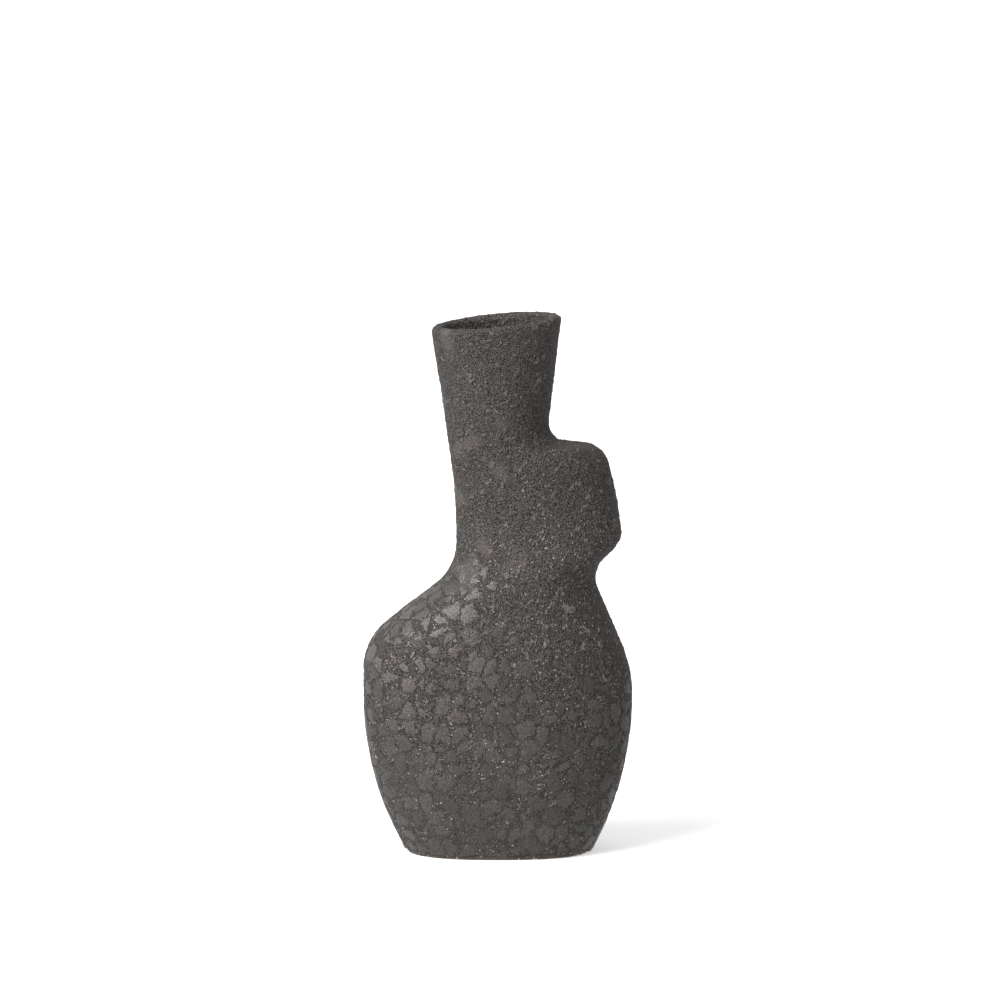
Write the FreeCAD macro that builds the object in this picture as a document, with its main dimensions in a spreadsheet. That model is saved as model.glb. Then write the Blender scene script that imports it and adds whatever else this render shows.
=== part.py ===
"""A hand-built stoneware vase: a flattened belly, a middle with a lobe on its right, and a flared neck.

The potter cuts a floor slab, raises three wall sections on it and joins them with scored, slipped seams.
The pot is then lined with a thin glaze and coated outside with a thick, gritty one that turns in at the lip.

Frame: millimetres, +Z up, origin under the middle of the foot. X runs across the flat front, Y from front to
back. The sides are outlines of straight runs and round corners. Each station along them carries one oval
cross-section, which leans with the form, and the forms are lofted through those ovals.
"""

import FreeCAD, Part
import Sketcher
import math
import os

# Driving dimensions, which go into the spreadsheet, in millimetres or degrees. A squareness is the power of the
# oval cross-sections: 2 is an ellipse. It changes evenly from the top of the belly to the foot of the neck.
SIZES = {
    "wall_thickness": 5.0,
    "glaze_coat": 0.8,
    "liner_coat": 0.5,
    "floor_thickness": 6.0,
    "foot_rounding": 1.2,
    "foot_recess_depth": 1.5,
    "foot_ring_width": 8.0,
    "bare_foot_height": 1.4,
    "rim_height": 296.8,
    "rim_tilt": 5.4,
    "lip_rounding": 2.3,
    "glaze_turnover": 24.0,
    "waist_seam_height": 162.0,
    "waist_seam_tilt": 8.0,
    "neck_seam_height": 238.0,
    "belly_squareness": 2.45,
    "belly_top": 120.0,
    "neck_squareness": 2.15,
    "neck_foot": 220.0,
}

# Corners of the outlines, from below the foot to above the rim: name, distance from the middle, height and
# rounding.
LEFT_SIDE = [
    ("left_toe", -46.4, -8.0, 0.0),
    ("left_belly", -74.4, 42.6, 175.0),
    ("left_shoulder", -74.4, 118.1, 32.6),
    ("left_nape", -23.0, 158.2, 33.0),
    ("left_neck", -23.0, 200.1, 350.0),
    ("left_top", -39.4, 310.0, 0.0),
]
RIGHT_SIDE = [
    ("right_toe", 46.8, -8.0, 0.0),
    ("right_belly", 74.4, 39.9, 170.0),
    ("right_shoulder", 74.4, 104.1, 86.0),
    ("right_waist", 51.3, 156.7, 16.0),
    ("lobe_underside", 69.3, 174.7, 12.0),
    ("lobe_side", 66.1, 199.0, 200.0),
    ("lobe_top", 58.4, 228.3, 15.0),
    ("lobe_shelf", 26.7, 228.3, 11.5),
    ("right_top", 36.8, 310.0, 0.0),
]
# The same for half the depth, from front to back.
DEPTH_SIDE = [
    ("deep_toe", 31.0, -8.0, 0.0),
    ("deep_belly", 42.5, 34.0, 120.0),
    ("deep_shoulder", 42.5, 116.0, 150.0),
    ("deep_neck", 26.5, 184.0, 150.0),
    ("deep_top", 29.6, 310.0, 0.0),
]

STATIONS = 96  # cross-sections along the form
LOW_STATIONS = 8  # of those, the ones that reach from below the foot to well above the floor
OVAL_POINTS = 28  # points round one cross-section
# The same knots for every cross-section, so that the lofted surface stays light.
KNOTS = [k / OVAL_POINTS for k in range(OVAL_POINTS + 1)]
SAMPLES_PER_STATION = 4  # how finely an outline is followed when its normals are taken
TRIM_REACH = 150.0  # of the blocks that trim the form, each way; wider than the whole pot
TRIM_HEIGHT = 350.0

doc = FreeCAD.newDocument("stoneware_vase")
sizes = doc.addObject("Spreadsheet::Sheet", "sizes")


def fill_sheet():
    """Writes every driving dimension into the spreadsheet under its alias."""
    cells = list(SIZES.items())
    for name, out, height, rounding in LEFT_SIDE + RIGHT_SIDE + DEPTH_SIDE:
        cells += [(name + "_out", out), (name + "_height", height), (name + "_round", rounding)]
    for row, (alias, value) in enumerate(cells, start=1):
        sizes.set(f"A{row}", alias)
        sizes.set(f"B{row}", str(value))
        sizes.setAlias(f"B{row}", alias)
    doc.recompute()


def rounded_corner(before, corner, after, radius):
    """The arc that rounds a corner: its centre, its start and end, and whether it turns left."""
    back = (before - corner).normalize()
    ahead = (after - corner).normalize()
    half_angle = back.getAngle(ahead) / 2
    run = radius / math.tan(half_angle)
    centre = corner + (back + ahead).normalize() * (radius / math.sin(half_angle))
    turns_left = back.cross(ahead).z < 0
    return centre, corner + back * run, corner + ahead * run, turns_left


def outline_sketch(name, corners):
    """A sketch on the XZ plane of straight runs and tangent arcs, which the sheet's cells hold in place."""
    sketch = doc.addObject("Sketcher::SketchObject", name)
    sketch.Placement = FreeCAD.Placement(FreeCAD.Vector(), FreeCAD.Rotation(FreeCAD.Vector(1, 0, 0), 90))
    spots = [FreeCAD.Vector(out, height, 0) for _, out, height, _ in corners]
    here = spots[0]
    joints = []
    for i in range(1, len(spots) - 1):
        centre, start, end, turns_left = rounded_corner(spots[i - 1], spots[i], spots[i + 1], corners[i][3])
        line = sketch.addGeometry(Part.LineSegment(here, start))
        first, last = (start, end) if turns_left else (end, start)
        angles = [math.atan2((p - centre).y, (p - centre).x) for p in (first, last)]
        circle = Part.Circle(centre, FreeCAD.Vector(0, 0, 1), corners[i][3])
        arc = sketch.addGeometry(Part.ArcOfCircle(circle, *angles))
        joints.append((line, arc, turns_left))
        here = end
    last_line = sketch.addGeometry(Part.LineSegment(here, spots[-1]))
    for i, (line, arc, turns_left) in enumerate(joints, start=1):
        next_line = joints[i][0] if i < len(joints) else last_line
        arc_in, arc_out = (1, 2) if turns_left else (2, 1)
        sketch.addConstraint(Sketcher.Constraint("Tangent", line, 2, arc, arc_in))
        sketch.addConstraint(Sketcher.Constraint("Tangent", arc, arc_out, next_line, 1))
        corner = sketch.addGeometry(Part.Point(spots[i]), True)
        sketch.addConstraint(Sketcher.Constraint("PointOnObject", corner, 1, line))
        sketch.addConstraint(Sketcher.Constraint("PointOnObject", corner, 1, next_line))
        bind(sketch, Sketcher.Constraint("Radius", arc, corners[i][3]), corners[i][0] + "_round")
        pin_down(sketch, corner, 1, corners[i])
    pin_down(sketch, joints[0][0], 1, corners[0])
    pin_down(sketch, last_line, 2, corners[-1])
    return sketch


def bind(sketch, constraint, alias):
    """Adds a dimension to a sketch and lets the spreadsheet's cell drive it."""
    index = sketch.addConstraint(constraint)
    sketch.setExpression(f"Constraints[{index}]", f"sizes.{alias}")


def pin_down(sketch, geometry, end, corner):
    """Fixes one point of a sketch at a named corner of the outline."""
    name, out, height, _ = corner
    bind(sketch, Sketcher.Constraint("DistanceX", -1, 1, geometry, end, out), name + "_out")
    bind(sketch, Sketcher.Constraint("DistanceY", -1, 1, geometry, end, height), name + "_height")


def outline_points(sketch, count):
    """Evenly spaced points along a sketched outline, from its foot upwards."""
    wire = Part.Wire(Part.__sortEdges__(sketch.Shape.Edges))
    points = wire.discretize(Number=count)
    return points if points[0].z < points[-1].z else points[::-1]


def inset_points(points, inward, inset):
    """The points moved square to the outline by the inset. inward is 1 on the left side, -1 on the right."""
    moved = []
    for i, point in enumerate(points):
        along = points[min(i + 1, len(points) - 1)] - points[max(i - 1, 0)]
        along.normalize()
        moved.append(point + FreeCAD.Vector(along.z, 0, -along.x) * (inward * inset))
    return moved


def value_at(height, table):
    """The first number of the table at this height, by straight lines between its (value, height) rows."""
    for (low_value, low), (high_value, high) in zip(table, table[1:]):
        if height <= high:
            share = max(0.0, (height - low) / (high - low))
            return low_value + (high_value - low_value) * share
    return table[-1][0]


def oval(left, right, half_depth, squareness):
    """A slightly squared oval, in the plane of left, right and the Y axis: a back edge and a front edge."""

    def flatten(share):
        return math.copysign(abs(share) ** (2 / squareness), share)

    middle = (left + right) * 0.5
    half_width = (right - left) * 0.5
    depth = FreeCAD.Vector(0, half_depth, 0)
    points = []
    for k in range(OVAL_POINTS):
        turn = 2 * math.pi * k / OVAL_POINTS
        points.append(middle + half_width * flatten(math.cos(turn)) + depth * flatten(math.sin(turn)))
    curve = Part.BSplineCurve()
    curve.interpolate(Points=points, PeriodicFlag=True, Parameters=KNOTS)
    return Part.Wire([curve.toShape(0.0, 0.5), curve.toShape(0.5, 1.0)])


def form(name, inset, stations=STATIONS):
    """The solid inside the pot's skin, moved inwards by the inset, from below the foot to that station."""
    count = STATIONS * SAMPLES_PER_STATION + 1
    left = inset_points(outline_points(left_side, count), 1, inset)[::SAMPLES_PER_STATION]
    right = inset_points(outline_points(right_side, count), -1, inset)[::SAMPLES_PER_STATION]
    depths = [(p.x, p.z) for p in outline_points(depth_side, count)]
    squareness = [(sizes.belly_squareness, sizes.belly_top), (sizes.neck_squareness, sizes.neck_foot)]
    ovals = []
    for a, b in list(zip(left, right))[: stations + 1]:
        height = (a.z + b.z) / 2
        ovals.append(oval(a, b, value_at(height, depths) - inset, value_at(height, squareness)))
    solid = doc.addObject("Part::Feature", name)
    solid.Shape = Part.makeLoft(ovals, True, False)
    return solid


def block(name, height, tilt="0", below=False):
    """A big block that reaches up, or down, from a plane at this height, which leans down to the right."""
    trim = doc.addObject("Part::Box", name)
    trim.Length = trim.Width = 2 * TRIM_REACH
    trim.Height = TRIM_HEIGHT
    angle = f"({tilt} + 180) * 1deg" if below else f"({tilt}) * 1deg"
    trim.Placement.Base.y = -TRIM_REACH
    trim.Placement.Rotation = FreeCAD.Rotation(FreeCAD.Vector(0, 1, 0), 1)
    trim.setExpression("Placement.Rotation.Angle", angle)
    trim.setExpression("Placement.Base.x", f"-{TRIM_REACH} * cos({angle})")
    trim.setExpression("Placement.Base.z", f"{height} + {TRIM_REACH} * sin({angle})")
    return trim


def boolean(kind, name, base, tool):
    """A Part::Cut or Part::Common of two objects."""
    made = doc.addObject("Part::" + kind, name)
    made.Base = base
    made.Tool = tool
    return made


def cut(name, base, *tools):
    """base with each tool taken away in turn."""
    for i, tool in enumerate(tools, start=1):
        base = boolean("Cut", name if i == len(tools) else f"{name}_cut_{i}", base, tool)
    return base


def round_edges(name, base, radius, on_wanted_plane):
    """base with every edge that lies on the wanted plane rounded."""
    doc.recompute()
    made = doc.addObject("Part::Fillet", name)
    made.Base = base
    numbered = enumerate(base.Shape.Edges, start=1)
    made.Edges = [(i, radius, radius) for i, edge in numbered if on_wanted_plane(edge)]
    return made


def on_plane(height, tilt=0.0):
    """A test for edges that lie in the plane at this height on the axis, leaning down to the right."""
    slope = math.tan(math.radians(tilt))

    def test(edge):
        return all(abs(p.z - height + slope * p.x) < 0.02 for p in edge.discretize(Number=12))

    return test


fill_sheet()
left_side = outline_sketch("left_side", LEFT_SIDE)
right_side = outline_sketch("right_side", RIGHT_SIDE)
depth_side = outline_sketch("depth_side", DEPTH_SIDE)
doc.recompute()

clay_face = sizes.glaze_coat
hollow_face = clay_face + sizes.wall_thickness
rim_tilt = "-sizes.rim_tilt"
clay_rim = sizes.rim_height - sizes.glaze_coat

# The forms, one inside another, and the planes that trim them.
skin_form = form("skin_form", 0.0)
clay_form = form("clay_form", clay_face)
hollow_form = form("hollow_form", hollow_face)
lined_form = form("lined_form", hollow_face + sizes.liner_coat)
mouth_form = form("mouth_form", hollow_face + sizes.glaze_coat)
slab_form = form("slab_form", clay_face, stations=LOW_STATIONS)
recess_form = form("recess_form", clay_face + sizes.foot_ring_width, stations=LOW_STATIONS)
below_floor_top = block("below_floor_top", "sizes.floor_thickness", below=True)
above_waist_seam = block("above_waist_seam", "sizes.waist_seam_height", "sizes.waist_seam_tilt")
above_neck_seam = block("above_neck_seam", "sizes.neck_seam_height")
above_clay_rim = block("above_clay_rim", "sizes.rim_height - sizes.glaze_coat", rim_tilt)
above_rim = block("above_rim", "sizes.rim_height", rim_tilt)
above_turnover = block("above_turnover", "sizes.rim_height - sizes.glaze_turnover", rim_tilt)

# Floor slab: a flat slab with a shallow recess underneath, so that the vase stands on a ring.
slab_layer = block("slab_layer", "0")
slab_layer.setExpression("Height", "sizes.floor_thickness")
slab_blank = boolean("Common", "slab_blank", slab_form, slab_layer)
foot_recess = cut("foot_recess", recess_form, block("above_recess", "sizes.foot_recess_depth"))
slab_round = round_edges("slab_round", slab_blank, sizes.foot_rounding, on_plane(0.0))
floor_slab = cut("floor_slab", slab_round, foot_recess)

# Walls: one clay shell, parted at the two seams.
wall_blank = cut("wall_blank", clay_form, below_floor_top, above_clay_rim)
wall = cut("wall", wall_blank, hollow_form)
belly_wall = cut("belly_wall", wall, above_waist_seam)
upper_wall = boolean("Common", "upper_wall", wall, above_waist_seam)
middle_wall = cut("middle_wall", upper_wall, above_neck_seam)
neck_sharp = boolean("Common", "neck_sharp", upper_wall, above_neck_seam)
neck_wall = round_edges("neck_wall", neck_sharp, sizes.lip_rounding, on_plane(clay_rim, -sizes.rim_tilt))

# Liner: a thin smooth glaze over the whole inside, up to where the outer glaze turns in.
liner_blank = cut("liner_blank", hollow_form, below_floor_top, above_turnover)
below_liner_top = block("below_liner_top", "sizes.floor_thickness + sizes.liner_coat", below=True)
lined = cut("lined", lined_form, below_liner_top)
liner_glaze = cut("liner_glaze", liner_blank, lined)

# Outer glaze: a coat over the outside and the lip, and down inside the mouth. It stops short of the foot.
below_coat = block("below_coat", "sizes.bare_foot_height", below=True)
coat_blank = cut("coat_blank", skin_form, below_coat, above_rim)
mouth = boolean("Common", "mouth", mouth_form, above_turnover)
coat_sharp = cut("coat_sharp", coat_blank, mouth)
lip_bend = sizes.lip_rounding + sizes.glaze_coat
coat_round = round_edges("coat_round", coat_sharp, lip_bend, on_plane(sizes.rim_height, -sizes.rim_tilt))
clay_below_neck = cut("clay_below_neck", clay_form, above_neck_seam)
hollow_below_turnover = cut("hollow_below_turnover", hollow_form, above_turnover)
outer_glaze = cut("outer_glaze", coat_round, neck_wall, clay_below_neck, hollow_below_turnover)

doc.recompute()
broken = [o.Name for o in doc.Objects if {"Invalid", "Error"} & set(o.State)]
assert not broken, f"objects that failed: {broken}"
sub_parts = (floor_slab, belly_wall, middle_wall, neck_wall, liner_glaze, outer_glaze)
os.makedirs("parts", exist_ok=True)
for sub_part in sub_parts:
    shape = sub_part.Shape
    assert not shape.isNull() and shape.isValid() and len(shape.Solids) == 1, sub_part.Label
    shape.exportStep(f"parts/{sub_part.Label}.step")
    print(f"{sub_part.Label}: {shape.Volume / 1000:.1f} cm3, {len(shape.Faces)} faces")
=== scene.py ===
import math

import bmesh
import bpy
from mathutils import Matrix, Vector, noise
from mathutils.bvhtree import BVHTree


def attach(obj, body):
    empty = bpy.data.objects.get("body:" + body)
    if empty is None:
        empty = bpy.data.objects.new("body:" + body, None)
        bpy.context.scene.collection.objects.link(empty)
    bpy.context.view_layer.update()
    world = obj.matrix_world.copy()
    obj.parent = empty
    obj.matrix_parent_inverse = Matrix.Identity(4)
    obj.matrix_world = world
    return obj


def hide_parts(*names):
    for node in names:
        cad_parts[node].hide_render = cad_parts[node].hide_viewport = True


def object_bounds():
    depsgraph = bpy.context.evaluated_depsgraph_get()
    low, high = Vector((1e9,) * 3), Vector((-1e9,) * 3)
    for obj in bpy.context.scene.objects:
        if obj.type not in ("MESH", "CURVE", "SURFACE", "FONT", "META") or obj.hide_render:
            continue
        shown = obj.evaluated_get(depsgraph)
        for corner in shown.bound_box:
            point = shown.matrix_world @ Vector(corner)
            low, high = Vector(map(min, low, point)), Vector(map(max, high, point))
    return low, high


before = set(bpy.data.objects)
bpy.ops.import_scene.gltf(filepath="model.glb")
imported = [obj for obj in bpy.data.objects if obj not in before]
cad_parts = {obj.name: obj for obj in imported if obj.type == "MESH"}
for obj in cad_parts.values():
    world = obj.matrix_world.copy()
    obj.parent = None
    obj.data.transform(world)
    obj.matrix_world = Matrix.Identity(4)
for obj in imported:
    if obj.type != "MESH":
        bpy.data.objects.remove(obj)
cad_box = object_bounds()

MM = 0.001  # the CAD's millimetre in the scene's metres
CLAY_NODES = ("floor_slab", "belly_wall", "middle_wall", "neck_wall")

# The glaze coat's mesh
COAT_SKIN = 0.55 * MM  # a face of the CAD's coat further than this from the clay is on its outside
COAT_DEPTH = 0.7 * MM
ON_SKIN = 0.3 * COAT_DEPTH  # a point nearer than this to the CAD's skin belongs to the shown side
COARSE_VOXEL = 2.5 * MM
WELD = 1e-6  # points of the CAD mesh nearer than this are one point
UNDERSIDE_TOP = 3 * MM  # the fill under the foot is below this
UNDERSIDE_NORMAL = -0.8  # and its faces' normals have a z below this
PLUG_DEPTHS = (14 * MM, 36 * MM)  # how far below the vase's top the fill across the mouth is
PLUG_NORMAL = 0.6  # and its faces' normals have a z above this
FOOT_BAND = 5 * MM  # the height over which the lower edge wanders
FOOT_RISE = 0.9 * MM
FOOT_DROP = 1.0 * MM
FOOT_GAP = 0.2 * MM  # the wiped edge stays this far above the surface that the vase stands on

# The glaze's relief, in mm
FLAKE_SIZE = 9.5
FLAKE_HEIGHT = 0.3
SCAB_HEIGHT = 0.35  # in the mesh
SCAB_BUMP = 0.8  # in the bump, for the same scabs
GRIT_BUMP = (1.05, 0.48)  # in the rough channels, and on the flakes
SWELL_HEIGHT = 0.6
WOBBLE_HEIGHT = 1.4
RELIEF_MIDDLE = 0.2  # the relief's mean height, so that the coat keeps its size

# Zones of the glaze, each as the place where it starts and the place where it is full, in mm
UPPER_BARE = (144, 172)  # up: few flakes
RIGHT_BARE = ((80, 140), (-20, 38))  # up, and to the right: few flakes
LEFT_SHOULDER_SHEEN = ((68, 100), (25, -30))  # up, and to the left: flakes painted paler there, as painted sheen from the key lamp
LEFT = (25, -10)  # to the left: smoother pale patches
NECK = (165, 205)  # up: a plainer skin
LOW_BELLY = (72, 40)  # down: channels and flakes nearer in tone

# The shares of flakes and of their parts, against the cells of the pattern
COVER = (0.92, 0.08)  # how much of the skin is flakes, in the flaked zones and in the bare ones
CHANNEL = (0.44, 0.05)  # how far a flake stops short of its cell's edge, at no cover and at full cover
FLAKE_REACH = 0.76  # how far a flake reaches from its cell's middle
SHORE = 0.05  # how wide a flake's edge is
ROUGHNESS = (0.66, 0.36)  # of the surface, in the rough channels and on the flakes

# The picture, in metres and degrees
SENSOR = 36.0  # in the camera's own millimetres
CAMERA_AWAY = 5.0
CAMERA_ELEVATION = 9.3
CAMERA_AIM = Vector((1.2 * MM, 0.0, 196.4 * MM))
FRAME_WIDTH = 0.5523  # what the picture spans at the vase
FLOOR_SIZE = 60.0
FLOOR_GAP = 0.02 * MM  # the floor is this far under the foot
FLOOR_GLOW = 0.46  # lifts the floor to white in the picture
BACKDROP_RADIUS = 12.0
SKY = 0.31  # how bright the studio is on the level, at the front and left
SKY_ABOVE = 0.25  # how much brighter it is above, below and behind
SKY_BELOW = 0.75
SKY_BEHIND = 0.2
SKY_RIGHT = 0.08  # how much darker it is on the right
LAMPS = (  # name, degrees to the left, degrees up, strength, degrees wide
    ("key", 53.0, 36.0, 2.85, 46.0),
    ("front", 38.0, 36.0, 0.6, 18.0),
)
WHITE = (1.0, 1.0, 1.0, 1.0)

scene = bpy.context.scene
scene.view_settings.view_transform = "Standard"


class Net:
    """Short names for the nodes of a shader or geometry tree. Lengths are in millimetres."""

    def __init__(self, tree):
        self.tree = tree

    def node(self, kind, **settings):
        made = self.tree.nodes.new(kind)
        for key, value in settings.items():
            setattr(made, key, value)
        return made

    def put(self, value, socket):
        if isinstance(value, bpy.types.NodeSocket):
            self.tree.links.new(value, socket)
        else:
            socket.default_value = value

    def math(self, operation, a, b=0.0, clamp=False):
        made = self.node("ShaderNodeMath", operation=operation, use_clamp=clamp)
        self.put(a, made.inputs[0])
        self.put(b, made.inputs[1])
        return made.outputs[0]

    def add(self, a, b, clamp=False):
        return self.math("ADD", a, b, clamp)

    def less(self, a, b):
        return self.math("SUBTRACT", a, b)

    def times(self, a, b):
        return self.math("MULTIPLY", a, b)

    def absolute(self, a):
        return self.math("ABSOLUTE", a)

    def vector(self, operation, a, b=(0.0, 0.0, 0.0), scale=None):
        made = self.node("ShaderNodeVectorMath", operation=operation)
        self.put(a, made.inputs[0])
        if scale is None:
            self.put(b, made.inputs[1])
        else:
            self.put(scale, made.inputs["Scale"])
        return made.outputs[0]

    def parts(self, vector):
        made = self.node("ShaderNodeSeparateXYZ")
        self.put(vector, made.inputs[0])
        return made.outputs[:3]

    def ramp(self, value, low, high, start=0.0, end=1.0, smooth=True):
        """start where value is low and end where it is high."""
        made = self.node("ShaderNodeMapRange", interpolation_type="SMOOTHSTEP" if smooth else "LINEAR")
        for socket, number in zip(made.inputs, (value, low, high, start, end)):
            self.put(number, socket)
        return made.outputs[0]

    def noise(self, where, size, detail=2.0, roughness=0.5, output=0):
        made = self.node("ShaderNodeTexNoise", noise_dimensions="3D")
        self.put(where, made.inputs["Vector"])
        made.inputs["Scale"].default_value = 1.0 / size
        made.inputs["Detail"].default_value = detail
        made.inputs["Roughness"].default_value = roughness
        return made.outputs[output]

    def drift(self, where, size, detail):
        """Noise about zero."""
        return self.less(self.noise(where, size, detail), 0.5)

    def cells(self, where, size, feature="F1", output="Distance"):
        made = self.node("ShaderNodeTexVoronoi", voronoi_dimensions="3D", feature=feature)
        self.put(where, made.inputs["Vector"])
        made.inputs["Scale"].default_value = 1.0 / size
        made.inputs["Randomness"].default_value = 1.0
        return made.outputs[output]

    def warp(self, where, size, amount, detail=2.0):
        """where, pushed about by up to the amount by noise of that size."""
        push = self.vector("SUBTRACT", self.noise(where, size, detail, output=1), (0.5, 0.5, 0.5))
        return self.vector("ADD", where, self.vector("SCALE", push, scale=2.0 * amount))

    def blend(self, share, a, b):
        """a where share is 0 and b where it is 1, for numbers."""
        return self.add(a, self.times(share, self.less(b, a)))

    def colour(self, share, a, b, kind="MIX"):
        """a where share is 0 and b where it is 1, for colours."""
        made = self.node("ShaderNodeMix", data_type="RGBA", blend_type=kind)
        self.put(share, made.inputs["Factor"])
        for value, name in ((a, "A"), (b, "B")):
            self.put(value, next(s for s in made.inputs if s.name == name and s.type == "RGBA"))
        return next(s for s in made.outputs if s.type == "RGBA")


def grey(r, g, b):
    """A colour given as it looks on screen, from 0 to 255, as linear light."""
    linear = [((c / 255 + 0.055) / 1.055) ** 2.4 if c > 10 else c / 255 / 12.92 for c in (r, g, b)]
    return (*linear, 1.0)


PIT = grey(16, 14, 13)
GRIT = grey(93, 88, 85)
LOW_GRIT = grey(84, 80, 77)
# painted highlight along the tops of the scab ridges
SCAB_HIGHLIGHT = grey(134, 127, 122)
BLOOM = grey(104, 99, 96)
FLAKES = (grey(81, 78, 75), grey(98, 94, 91))
# painted sheen: the paler flake colour on the left shoulder, where the key lamp's sheen falls
SHOULDER_SHEEN_FLAKE = grey(121, 115, 112)
COOL_FLAKE = grey(84, 83, 80)
FLAKE_PIT = grey(46, 43, 41)
# painted shade along the edges of the raised flakes
PAINTED_EDGE_SHADE = grey(38, 34, 32)
# painted glints: sparse bright specks
GLINT_COLOUR = grey(190, 184, 178)
CHIP = grey(222, 214, 202)
TINTS = ((0.96, 1.0, 0.99, 1.0), (1.05, 1.0, 0.98, 1.0))
CLAY = (grey(80, 73, 68), grey(106, 97, 90))
GROG = grey(214, 200, 178)
BURNT_CLAY = grey(74, 52, 40)
LINER = (grey(58, 50, 45), grey(86, 76, 68))


def glaze_field(net, where):
    """The gritty glaze's pattern: smooth flakes parted by rough channels with ridges and scabs.

    where is the undisplaced place, in mm. Numbers beside a noise are its grain in mm and its detail.
    """
    x, _, z = net.parts(where)
    bent = net.warp(where, 9.0, 2.6, 1.0)
    bent = net.warp(bent, 2.8, 2.6, 2.0)
    edge = net.cells(bent, FLAKE_SIZE, feature="DISTANCE_TO_EDGE")
    middle = net.cells(bent, FLAKE_SIZE)
    tones = net.parts(net.cells(bent, FLAKE_SIZE, output="Color"))
    upper_right = net.times(net.ramp(z, *RIGHT_BARE[0]), net.ramp(x, *RIGHT_BARE[1]))
    bare = net.math("MAXIMUM", upper_right, net.ramp(z, *UPPER_BARE))
    wander = net.add(net.drift(where, 24.0, 1.0), net.times(net.less(tones[2], 0.5), 0.32))
    cover = net.add(net.blend(bare, *COVER), net.times(wander, 1.1), clamp=True)
    low = net.ramp(cover, 0.0, 1.0, *CHANNEL, smooth=False)
    rise = net.math("MINIMUM", net.less(edge, low), net.less(FLAKE_REACH, middle))
    crease = net.drift(net.warp(where, 5.0, 2.0), 3.6, 1.0)
    crease = net.less(1.0, net.absolute(net.times(crease, 11.0)))
    scabbed = net.ramp(net.noise(where, 4.5, 1.0), 0.53, 0.61)
    return {
        "island": net.ramp(rise, 0.0, SHORE),
        "scab": net.times(net.ramp(crease, 0.1, 0.9), scabbed),
        "swell": net.drift(where, 5.0, 2.0),
        "wobble": net.drift(where, 38.0, 1.0),
        # the left shoulder, where the flakes get painted sheen
        "shoulder": net.times(net.ramp(z, *LEFT_SHOULDER_SHEEN[0]), net.ramp(x, *LEFT_SHOULDER_SHEEN[1])),
        "tones": tones,
        "rise": rise,
        "height": z,
        "across": x,
    }


def relief(net, field, fine):
    """The pattern's height in mm. The bump's (fine) has the grit, and the mesh's has the swells."""
    scab = net.times(field["scab"], net.less(1.0, field["island"]))
    height = net.times(field["island"], FLAKE_HEIGHT)
    height = net.add(height, net.times(scab, SCAB_BUMP if fine else SCAB_HEIGHT))
    if fine:
        return net.add(height, net.times(field["grit"], net.blend(field["island"], *GRIT_BUMP)))
    height = net.add(height, net.times(field["swell"], SWELL_HEIGHT))
    return net.add(height, net.times(field["wobble"], WOBBLE_HEIGHT))


def principled(name):
    """A new material, its node helper and its Principled BSDF."""
    material = bpy.data.materials.new(name)
    material.use_nodes = True
    return material, Net(material.node_tree), material.node_tree.nodes["Principled BSDF"]


def recorded_place(net):
    """The undisplaced place of the surface in mm, from the mesh's own record of it."""
    return net.node("ShaderNodeAttribute", attribute_name="rest").outputs["Vector"]


def object_place(net):
    """The place of the surface in mm, from the object's axes."""
    return net.vector("SCALE", net.node("ShaderNodeTexCoord").outputs["Object"], scale=1.0 / MM)


def bump(net, height_mm, strength, shader):
    made = net.node("ShaderNodeBump")
    made.inputs["Strength"].default_value = strength
    made.inputs["Distance"].default_value = MM
    net.put(height_mm, made.inputs["Height"])
    net.put(made.outputs[0], shader.inputs["Normal"])


def flake_colour(net, field, grain):
    """Pale grey, each flake a little different, with painted sheen that makes the flakes paler on the
    left shoulder.
    """
    red, green, _ = field["tones"]
    flake = net.colour(net.ramp(red, 0.1, 0.9), *FLAKES)
    # painted sheen on the left shoulder's flakes
    paler = net.times(field["shoulder"], net.ramp(red, 0.0, 0.7, 0.25, 0.75))
    flake = net.colour(paler, flake, SHOULDER_SHEEN_FLAKE)
    flake = net.colour(net.times(net.ramp(green, 0.4, 1.0), 0.5), flake, COOL_FLAKE)
    return net.colour(net.ramp(grain, 0.38, 0.62, 0.68, 0.0), flake, FLAKE_PIT)


def rough_colour(net, field, grain, bloom):
    """Dark pits and paler grit, with a painted highlight along the scabs."""
    rough = net.colour(net.ramp(grain, 0.40, 0.60), PIT, GRIT)
    rough = net.colour(net.times(net.ramp(field["height"], *LOW_BELLY), 0.3), rough, LOW_GRIT)
    # painted highlight on the scab ridges, weaker up the neck
    scab = net.times(field["scab"], net.ramp(field["height"], *NECK, 0.85, 0.6))
    rough = net.colour(scab, rough, SCAB_HIGHLIGHT)
    return net.colour(net.times(bloom, 0.55), rough, BLOOM)


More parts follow.
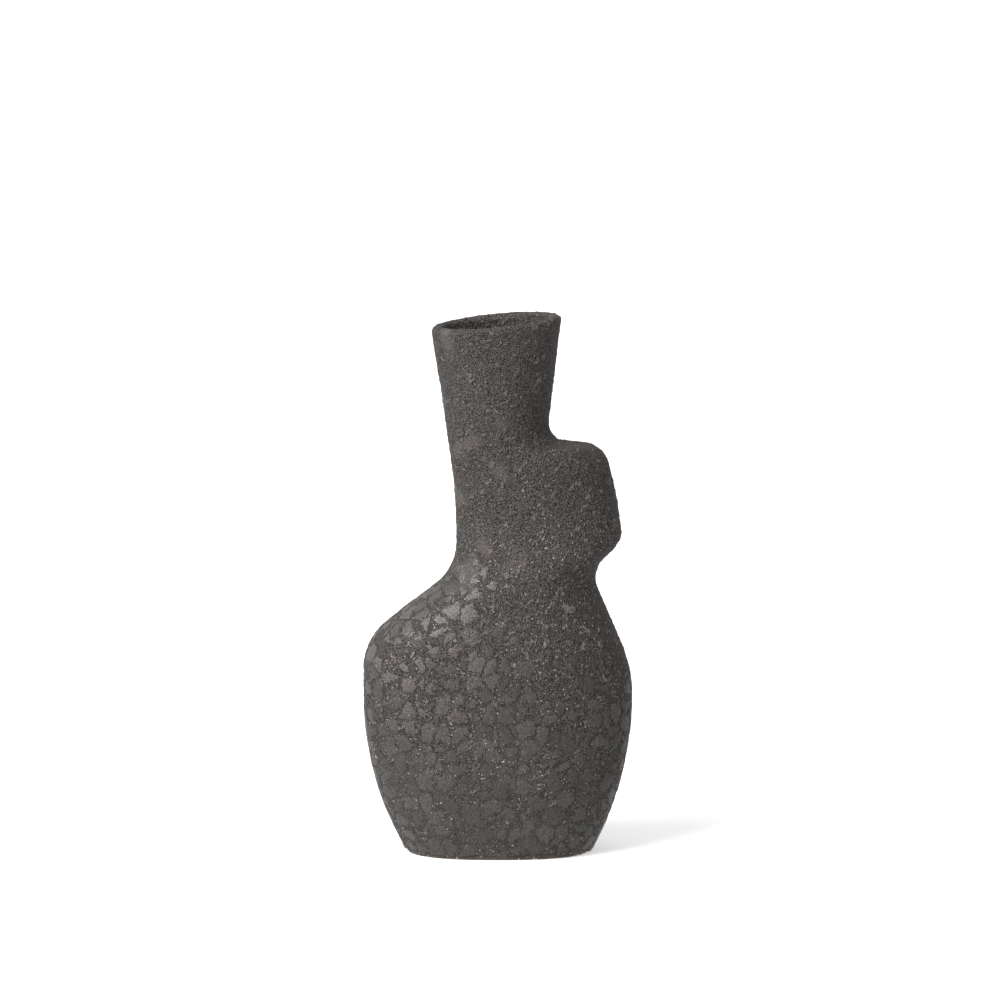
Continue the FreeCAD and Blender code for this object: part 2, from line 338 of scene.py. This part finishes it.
def gritty_glaze():
    material, net, shader = principled("gritty_glaze")
    where = recorded_place(net)
    field = glaze_field(net, where)
    field["grit"] = net.noise(where, 0.92, 1.0)
    grain = net.blend(0.25, net.noise(where, 0.58, 0.0), net.noise(where, 1.6, 1.0))
    blotch = net.noise(where, 11.0, 3.0, 0.6)
    bloom = net.ramp(net.noise(where, 17.0, 1.0), 0.56, 0.70)
    bloom = net.times(bloom, net.ramp(field["across"], *LEFT))
    rough = rough_colour(net, field, grain, bloom)
    colour = net.colour(field["island"], rough, flake_colour(net, field, grain))
    # painted shade in the crease along each flake's edge, patchy by the blotch noise
    painted_edge_shade = net.ramp(net.absolute(field["rise"]), 0.0, SHORE, 0.9, 0.0)
    painted_edge_shade = net.times(painted_edge_shade, net.ramp(blotch, 0.35, 0.6, 0.4, 1.0))
    colour = net.colour(painted_edge_shade, colour, PAINTED_EDGE_SHADE)
    # painted glints: sparse bright specks, fewer on the flakes and up the neck
    painted_glint = net.ramp(net.noise(net.warp(where, 1.5, 0.8), 1.1, 0.0), 0.745, 0.815, 0.0, 0.95)
    painted_glint = net.times(painted_glint, net.blend(field["island"], 1.0, 0.3))
    painted_glint = net.times(painted_glint, net.ramp(field["height"], *NECK, 1.0, 0.5))
    colour = net.colour(painted_glint, colour, GLINT_COLOUR)
    chip = net.ramp(net.cells(net.warp(where, 0.8, 1.1), 23.0), 0.022, 0.034, 0.9, 0.0)
    colour = net.colour(chip, colour, CHIP)
    warm = net.colour(net.ramp(blotch, 0.3, 0.7), *TINTS)
    net.put(net.colour(1.0, colour, warm, "MULTIPLY"), shader.inputs["Base Color"])
    roughness = net.less(net.blend(field["island"], *ROUGHNESS), net.times(bloom, 0.12))
    roughness = net.add(roughness, net.times(net.less(grain, 0.5), 0.4))
    net.put(roughness, shader.inputs["Roughness"])
    bump(net, relief(net, field, fine=True), 1.0, shader)
    return material


def bare_clay():
    material, net, shader = principled("stoneware_clay")
    where = object_place(net)
    body = net.colour(net.ramp(net.noise(where, 9.0, 4.0), 0.3, 0.7), *CLAY)
    chipped = net.warp(where, 1.1, 0.45)
    odds = net.parts(net.cells(chipped, 2.6, output="Color"))[0]
    grog = net.ramp(net.add(net.cells(chipped, 2.6), net.times(odds, 0.3)), 0.38, 0.26)
    body = net.colour(grog, body, GROG)
    body = net.colour(net.ramp(net.noise(where, 4.0, 3.0), 0.58, 0.70, 0.0, 0.8), body, BURNT_CLAY)
    net.put(body, shader.inputs["Base Color"])
    shader.inputs["Roughness"].default_value = 0.86
    height = net.add(net.times(net.noise(where, 1.2, 3.0), 0.3), net.times(grog, 0.1))
    bump(net, height, 0.8, shader)
    return material


def liner_glaze():
    material, net, shader = principled("liner_glaze")
    where = object_place(net)
    flow = net.noise(where, 14.0, 4.0)
    colour = net.colour(net.ramp(flow, 0.3, 0.7), *LINER)
    net.put(colour, shader.inputs["Base Color"])
    net.put(net.ramp(net.noise(where, 3.0, 3.0), 0.3, 0.7, 0.26, 0.42), shader.inputs["Roughness"])
    bump(net, net.times(flow, 0.5), 0.5, shader)
    return material


def node_bmesh(names):
    """One bmesh of several CAD nodes, in the row frame."""
    bm = bmesh.new()
    for name in names:
        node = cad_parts[name]
        part = node.data.copy()
        part.transform(node.matrix_world)
        bm.from_mesh(part)
        bpy.data.meshes.remove(part)
    return bm


def evaluated(mesh, set_up):
    """The mesh after the modifier that set_up adds to an object of it. The mesh itself is removed."""
    holder = bpy.data.objects.new("holder", mesh)
    scene.collection.objects.link(holder)
    set_up(holder)
    graph = bpy.context.evaluated_depsgraph_get()
    made = bpy.data.meshes.new_from_object(holder.evaluated_get(graph))
    bpy.data.objects.remove(holder)
    bpy.data.meshes.remove(mesh)
    return made


def modified(bm, kind, **settings):
    """bm after a modifier with these settings. bm itself is freed."""
    mesh = bpy.data.meshes.new("work")
    bm.to_mesh(mesh)
    bm.free()

    def set_up(holder):
        modifier = holder.modifiers.new(kind, kind)
        for key, value in settings.items():
            setattr(modifier, key, value)

    made = evaluated(mesh, set_up)
    bm = bmesh.new()
    bm.from_mesh(made)
    bpy.data.meshes.remove(made)
    return bm


def coat_skin():
    """The outside of the CAD's outer glaze: its faces that lie a coat's thickness off the clay."""
    clay = node_bmesh(CLAY_NODES + ("liner_glaze",))
    clay_tree = BVHTree.FromBMesh(clay)
    clay.free()
    skin = node_bmesh(("outer_glaze",))
    bmesh.ops.remove_doubles(skin, verts=skin.verts, dist=WELD)
    backs = [f for f in skin.faces if clay_tree.find_nearest(f.calc_center_median())[3] < COAT_SKIN]
    bmesh.ops.delete(skin, geom=backs, context="FACES")
    return skin


def is_fill(face):
    """True for the faces that closed the skin under the foot and across the mouth."""
    z = face.calc_center_median().z
    below_top = cad_box[1][2] - z
    under = z < UNDERSIDE_TOP and face.normal.z < UNDERSIDE_NORMAL
    plug = PLUG_DEPTHS[0] < below_top < PLUG_DEPTHS[1] and face.normal.z > PLUG_NORMAL
    return under or plug


def coat_shell():
    """A closed shell of even quads on the CAD's outer glaze, finer outside than on the clay's side."""
    skin = coat_skin()
    tree = BVHTree.FromBMesh(skin)
    bmesh.ops.edgeloop_fill(skin, edges=[e for e in skin.edges if e.is_boundary])
    bmesh.ops.triangulate(skin, faces=skin.faces)
    bmesh.ops.recalc_face_normals(skin, faces=skin.faces)
    bm = modified(skin, "REMESH", mode="VOXEL", voxel_size=COARSE_VOXEL)
    bmesh.ops.delete(bm, geom=[f for f in bm.faces if is_fill(f)], context="FACES")
    for _ in range(3):
        bmesh.ops.smooth_vert(
            bm, verts=bm.verts, factor=0.5, use_axis_x=True, use_axis_y=True, use_axis_z=True
        )
    for v in bm.verts:
        v.co = tree.find_nearest(v.co)[0]
    bm = modified(bm, "SOLIDIFY", thickness=COAT_DEPTH, offset=-1.0, use_rim=True, use_even_offset=True)
    outer = {v for v in bm.verts if tree.find_nearest(v.co)[3] < ON_SKIN}
    edges = {e for f in bm.faces if all(v in outer for v in f.verts) for e in f.edges}
    bmesh.ops.subdivide_edges(bm, edges=list(edges), cuts=1, use_grid_fill=True)
    shown = bm.verts.layers.float.new("shown")
    for v in bm.verts:
        spot, _, _, distance = tree.find_nearest(v.co)
        if distance < ON_SKIN:
            v.co = spot
            v[shown] = 1.0
    mesh = bpy.data.meshes.new("glaze_coat")
    bm.to_mesh(mesh)
    bm.free()
    return mesh


def record_rest(mesh):
    """Keeps each point's place, in mm, on the mesh as the attribute that the glaze's pattern follows."""
    spots = [c / MM for v in mesh.vertices for c in v.co]
    mesh.attributes.new("rest", "FLOAT_VECTOR", "POINT").data.foreach_set("vector", spots)


def relief_nodes():
    """A geometry node tree that moves the shown side of the coat out by the relief."""
    tree = bpy.data.node_groups.new("relief", "GeometryNodeTree")
    tree.interface.new_socket("Geometry", in_out="INPUT", socket_type="NodeSocketGeometry")
    tree.interface.new_socket("Geometry", in_out="OUTPUT", socket_type="NodeSocketGeometry")
    net = Net(tree)
    source = net.node("NodeGroupInput")
    result = net.node("NodeGroupOutput")
    place = net.node("GeometryNodeInputNamedAttribute", data_type="FLOAT_VECTOR")
    place.inputs["Name"].default_value = "rest"
    shown = net.node("GeometryNodeInputNamedAttribute", data_type="FLOAT")
    shown.inputs["Name"].default_value = "shown"
    field = glaze_field(net, place.outputs["Attribute"])
    height = net.less(relief(net, field, fine=False), RELIEF_MIDDLE)
    height = net.times(net.times(height, shown.outputs["Attribute"]), MM)
    push = net.vector("SCALE", net.node("GeometryNodeInputNormal").outputs[0], scale=height)
    move = net.node("GeometryNodeSetPosition")
    net.put(source.outputs[0], move.inputs["Geometry"])
    net.put(push, move.inputs["Offset"])
    net.put(move.outputs[0], result.inputs[0])
    return tree


def with_relief(mesh):
    """The mesh with the glaze's relief worked into it."""

    def set_up(holder):
        holder.modifiers.new("relief", "NODES").node_group = relief_nodes()

    made = evaluated(mesh, set_up)
    made.name = "glaze_coat"
    return made


def wander_foot(mesh):
    """Lets the coat's wiped lower edge wander up and down a little."""
    for v in mesh.vertices:
        if v.co.z < FOOT_BAND:
            wander = noise.noise(v.co / (7 * MM)) + 0.6 * noise.noise(v.co / (2.2 * MM))
            lift = (FOOT_RISE * wander - FOOT_DROP) * (1 - v.co.z / FOOT_BAND)
            v.co.z = max(FOOT_GAP, v.co.z + lift)


def build_coat():
    mesh = coat_shell()
    record_rest(mesh)
    mesh = with_relief(mesh)
    wander_foot(mesh)
    for face in mesh.polygons:
        face.use_smooth = True
    coat = bpy.data.objects.new("glaze_coat", mesh)
    scene.collection.objects.link(coat)
    mesh.materials.clear()
    mesh.materials.append(gritty_glaze())
    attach(coat, "root")
    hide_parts("outer_glaze")


def dress(name, material):
    """Gives a CAD node this material."""
    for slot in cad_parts[name].material_slots:
        slot.link = "OBJECT"
        slot.material = material


def dress_nodes():
    clay = bare_clay()
    for name in CLAY_NODES:
        dress(name, clay)
    dress("liner_glaze", liner_glaze())


def studio_white(name, albedo, glow):
    """A plain white material that also glows."""
    material, _, shader = principled(name)
    shader.inputs["Base Color"].default_value = (albedo, albedo, albedo, 1.0)
    shader.inputs["Roughness"].default_value = 0.9
    shader.inputs["Specular IOR Level"].default_value = 0.0
    shader.inputs["Emission Color"].default_value = WHITE
    shader.inputs["Emission Strength"].default_value = glow
    return material


def build_floor():
    """A white floor that casts no light on the vase."""
    bpy.ops.mesh.primitive_plane_add(size=FLOOR_SIZE, location=(0.0, 0.0, -FLOOR_GAP))
    floor = bpy.context.object
    floor.name = "floor"
    floor.data.materials.append(studio_white("floor_white", 0.95, FLOOR_GLOW))
    floor.visible_diffuse = False
    floor.visible_glossy = False


def build_backdrop():
    """A far white wall all round, seen only by the camera, so that the studio's light passes it."""
    mesh = bpy.data.meshes.new("backdrop")
    bm = bmesh.new()
    bmesh.ops.create_cone(
        bm, segments=64, radius1=BACKDROP_RADIUS, radius2=BACKDROP_RADIUS, depth=2 * BACKDROP_RADIUS
    )
    bm.to_mesh(mesh)
    bm.free()
    mesh.materials.append(studio_white("backdrop_white", 0.0, 1.0))
    wall = bpy.data.objects.new("backdrop", mesh)
    scene.collection.objects.link(wall)
    wall.visible_diffuse = False
    wall.visible_glossy = False
    wall.visible_shadow = False


def build_sky():
    """A white studio: dim on the level, and brighter above, below and behind."""
    world = bpy.data.worlds.new("sky")
    world.use_nodes = True
    net = Net(world.node_tree)
    x, y, z = net.parts(net.node("ShaderNodeTexCoord").outputs["Generated"])
    glow = net.add(SKY, net.times(net.math("MAXIMUM", y, 0.0), SKY_BEHIND))
    glow = net.add(glow, net.times(net.math("MAXIMUM", z, 0.0), SKY_ABOVE))
    glow = net.add(glow, net.times(net.math("MINIMUM", z, 0.0), -SKY_BELOW))
    glow = net.less(glow, net.times(net.math("MAXIMUM", x, 0.0), SKY_RIGHT))
    background = world.node_tree.nodes["Background"]
    background.inputs["Color"].default_value = WHITE
    net.put(glow, background.inputs["Strength"])
    scene.world = world


def build_lamps():
    """Two broad soft lamps, up at the front left."""
    for name, to_left, up, strength, wide in LAMPS:
        lamp = bpy.data.lights.new(name, "SUN")
        lamp.energy = strength
        lamp.angle = math.radians(wide)
        holder = bpy.data.objects.new(name, lamp)
        holder.rotation_euler = (math.radians(90 - up), 0.0, math.radians(-to_left))
        holder.location = (-1.0, -1.0, 1.5)
        scene.collection.objects.link(holder)


def build_camera():
    """A long lens from far away, a little above the vase and square to its front."""
    camera = bpy.data.cameras.new("camera")
    camera.sensor_width = SENSOR
    camera.lens = SENSOR * CAMERA_AWAY / FRAME_WIDTH
    camera.clip_end = 200.0
    holder = bpy.data.objects.new("camera", camera)
    tilt = math.radians(CAMERA_ELEVATION)
    holder.location = CAMERA_AIM + CAMERA_AWAY * Vector((0.0, -math.cos(tilt), math.sin(tilt)))
    holder.rotation_euler = (math.pi / 2 - tilt, 0.0, 0.0)
    scene.collection.objects.link(holder)
    scene.camera = holder


build_coat()
dress_nodes()
build_floor()
build_backdrop()
build_sky()
build_lamps()
build_camera()
